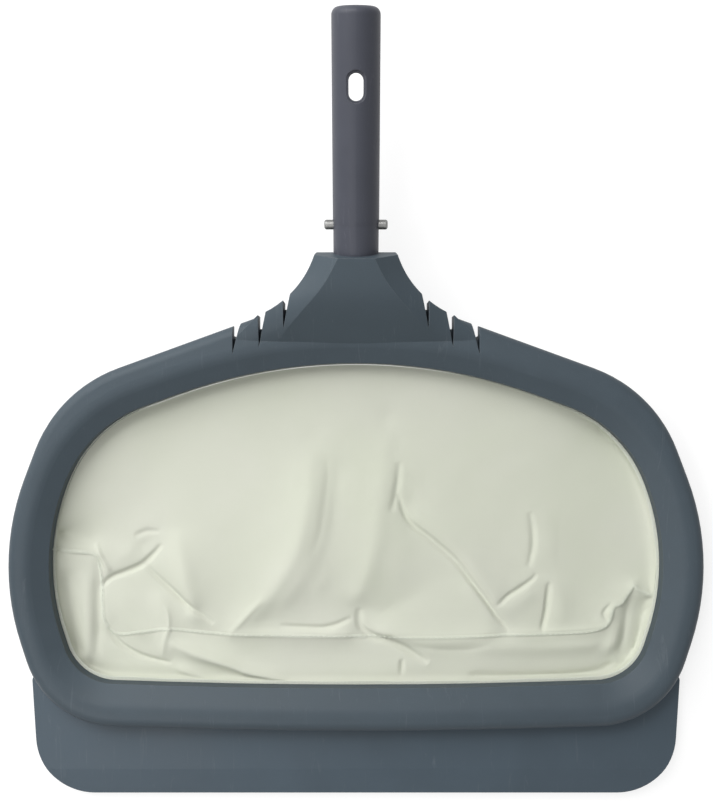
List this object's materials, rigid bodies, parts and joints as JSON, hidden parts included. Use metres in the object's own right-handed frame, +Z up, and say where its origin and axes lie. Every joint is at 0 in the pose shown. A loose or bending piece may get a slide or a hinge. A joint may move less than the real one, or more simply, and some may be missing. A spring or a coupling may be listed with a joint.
{
  "type": "leaf skimmer net",
  "caption": "Pool leaf skimmer head: moulded ring with a shallow mesh bag, a scoop lip, and a tilted tube with snap buttons that locks into a pole.",
  "frame": {"origin": "on the ground, under the middle of the head as it lies on its back", "axes": "+Z up, towards the mouth of the bag; +Y along the handle, away from the scoop lip; +X to the right seen from the mouth"},
  "size_m": [0.4436, 0.4846, 0.0921],
  "materials": {
    "frame_plastic": "moulded, satin, blue-grey",
    "lip_plastic": "moulded, satin, blue-grey",
    "handle_plastic": "moulded, satin, purple-grey",
    "pin_steel": "plain",
    "spring_steel": "tempered leaf",
    "button_steel": "turned",
    "net_fabric": "fine white mesh",
    "hem_fabric": "woven tape",
    "cord_fibre": "round cord",
    "screw_steel": "zinc plated"
  },
  "bodies": {
    "head": {"front_frame": "frame_plastic", "rear_frame": "frame_plastic", "scoop_lip": "lip_plastic", "handle_tube": "handle_plastic", "cross_pin": "pin_steel", "snap_spring": "spring_steel", "net_rear_panel": "net_fabric", "net_gusset": "net_fabric", "net_seam_tape": "hem_fabric", "net_hem": "hem_fabric", "hem_cord": "cord_fibre", "ring_screws": "screw_steel", "lip_screws": "screw_steel", "neck_screws": "screw_steel"},
    "left_button": {"left_button": "button_steel"},
    "right_button": {"right_button": "button_steel"}
  },
  "joints": [
    {"name": "left_button_press", "type": "slide", "parent": "head", "child": "left_button", "axis": [1, 0, 0], "range_m": [0, 0.0055], "stiffness_N_per_m": 900, "springref_m": -0.002, "deforming": ["snap_spring"]},
    {"name": "right_button_press", "type": "slide", "parent": "head", "child": "right_button", "axis": [-1, 0, 0], "range_m": [0, 0.0055], "stiffness_N_per_m": 900, "springref_m": -0.002, "deforming": ["snap_spring"]}
  ]
}
